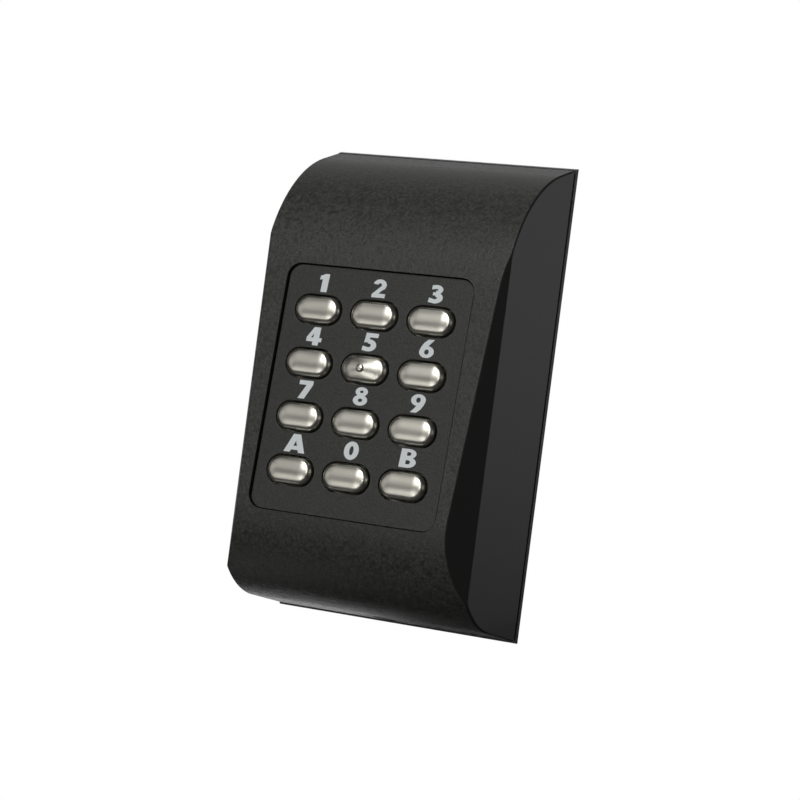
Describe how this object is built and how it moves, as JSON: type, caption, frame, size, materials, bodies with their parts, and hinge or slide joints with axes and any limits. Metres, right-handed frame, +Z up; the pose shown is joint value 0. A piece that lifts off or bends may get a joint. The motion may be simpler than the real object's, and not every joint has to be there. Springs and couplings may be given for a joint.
{
  "type": "keypad access reader",
  "caption": "Surface-mounted keypad access reader: wedge-shaped plastic housing on a flat base plate, with a framed keypad of sprung metal keys.",
  "frame": {"origin": "centre of the base plate's face that lies on the wall", "axes": "+X right as one faces the keypad, +Y into the wall, +Z up"},
  "size_m": [0.052, 0.0305, 0.0918],
  "materials": {
    "housing": "black moulded ABS with a fine spark-eroded grain",
    "base": "black moulded ABS, smooth satin",
    "panel": "black moulded ABS with a fine grain",
    "key": "satin nickel-plated metal cap",
    "legend": "light grey printed characters",
    "silicone": "dark grey silicone",
    "seal": "black rubber",
    "board": "green solder mask on glass fibre board",
    "component": "black moulded epoxy",
    "plunger": "natural white acetal",
    "terminal": "green moulded polyamide",
    "steel": "bright zinc-plated steel",
    "copper": "enamelled copper wire, wound and taped"
  },
  "bodies": {
    "root": {"front_cover": "housing", "keypad_panel": "panel", "keypad_mat": "silicone", "circuit_board": "board", "antenna_coil": "copper", "terminal_block": "terminal", "controller_chip": "component", "reader_chip": "component", "buzzer": "component", "crystal": "steel", "filter_capacitor": "steel", "voltage_regulator": "component", "tamper_switch": "component", "base_plate": "base", "cover_seal": "seal", "cable_grommet": "seal", "security_screw": "steel", "board_screw_1": "steel", "board_screw_2": "steel", "board_screw_3": "steel", "board_screw_4": "steel", "terminal_screw_1": "steel", "terminal_screw_2": "steel", "terminal_screw_3": "steel", "terminal_screw_4": "steel", "terminal_screw_5": "steel", "terminal_screw_6": "steel"},
    "key_1": {"key_1": "key", "key_dome_1": "silicone"},
    "key_2": {"key_2": "key", "key_dome_2": "silicone"},
    "key_3": {"key_3": "key", "key_dome_3": "silicone"},
    "key_4": {"key_4": "key", "key_dome_4": "silicone"},
    "key_5": {"key_5": "key", "key_dome_5": "silicone"},
    "key_6": {"key_6": "key", "key_dome_6": "silicone"},
    "key_7": {"key_7": "key", "key_dome_7": "silicone"},
    "key_8": {"key_8": "key", "key_dome_8": "silicone"},
    "key_9": {"key_9": "key", "key_dome_9": "silicone"},
    "key_a": {"key_a": "key", "key_dome_a": "silicone"},
    "key_0": {"key_0": "key", "key_dome_0": "silicone"},
    "key_b": {"key_b": "key", "key_dome_b": "silicone"},
    "tamper_plunger": {"tamper_plunger": "plunger"}
  },
  "joints": [
    {"name": "key_1_press", "type": "slide", "parent": "root", "child": "key_1", "axis": [0, 0.9958, -0.0917], "range_m": [0, 0.0008], "stiffness_N_per_m": 600},
    {"name": "key_2_press", "type": "slide", "parent": "root", "child": "key_2", "axis": [0, 0.9958, -0.0917], "range_m": [0, 0.0008], "stiffness_N_per_m": 600},
    {"name": "key_3_press", "type": "slide", "parent": "root", "child": "key_3", "axis": [0, 0.9958, -0.0917], "range_m": [0, 0.0008], "stiffness_N_per_m": 600},
    {"name": "key_4_press", "type": "slide", "parent": "root", "child": "key_4", "axis": [0, 0.9958, -0.0917], "range_m": [0, 0.0008], "stiffness_N_per_m": 600},
    {"name": "key_5_press", "type": "slide", "parent": "root", "child": "key_5", "axis": [0, 0.9958, -0.0917], "range_m": [0, 0.0008], "stiffness_N_per_m": 600},
    {"name": "key_6_press", "type": "slide", "parent": "root", "child": "key_6", "axis": [0, 0.9958, -0.0917], "range_m": [0, 0.0008], "stiffness_N_per_m": 600},
    {"name": "key_7_press", "type": "slide", "parent": "root", "child": "key_7", "axis": [0, 0.9958, -0.0917], "range_m": [0, 0.0008], "stiffness_N_per_m": 600},
    {"name": "key_8_press", "type": "slide", "parent": "root", "child": "key_8", "axis": [0, 0.9958, -0.0917], "range_m": [0, 0.0008], "stiffness_N_per_m": 600},
    {"name": "key_9_press", "type": "slide", "parent": "root", "child": "key_9", "axis": [0, 0.9958, -0.0917], "range_m": [0, 0.0008], "stiffness_N_per_m": 600},
    {"name": "key_a_press", "type": "slide", "parent": "root", "child": "key_a", "axis": [0, 0.9958, -0.0917], "range_m": [0, 0.0008], "stiffness_N_per_m": 600},
    {"name": "key_0_press", "type": "slide", "parent": "root", "child": "key_0", "axis": [0, 0.9958, -0.0917], "range_m": [0, 0.0008], "stiffness_N_per_m": 600},
    {"name": "key_b_press", "type": "slide", "parent": "root", "child": "key_b", "axis": [0, 0.9958, -0.0917], "range_m": [0, 0.0008], "stiffness_N_per_m": 600},
    {"name": "tamper_plunger_slide", "type": "slide", "parent": "root", "child": "tamper_plunger", "axis": [0, 0.9958, -0.0917], "range_m": [-0.0006, 0.0015], "stiffness_N_per_m": 200}
  ]
}
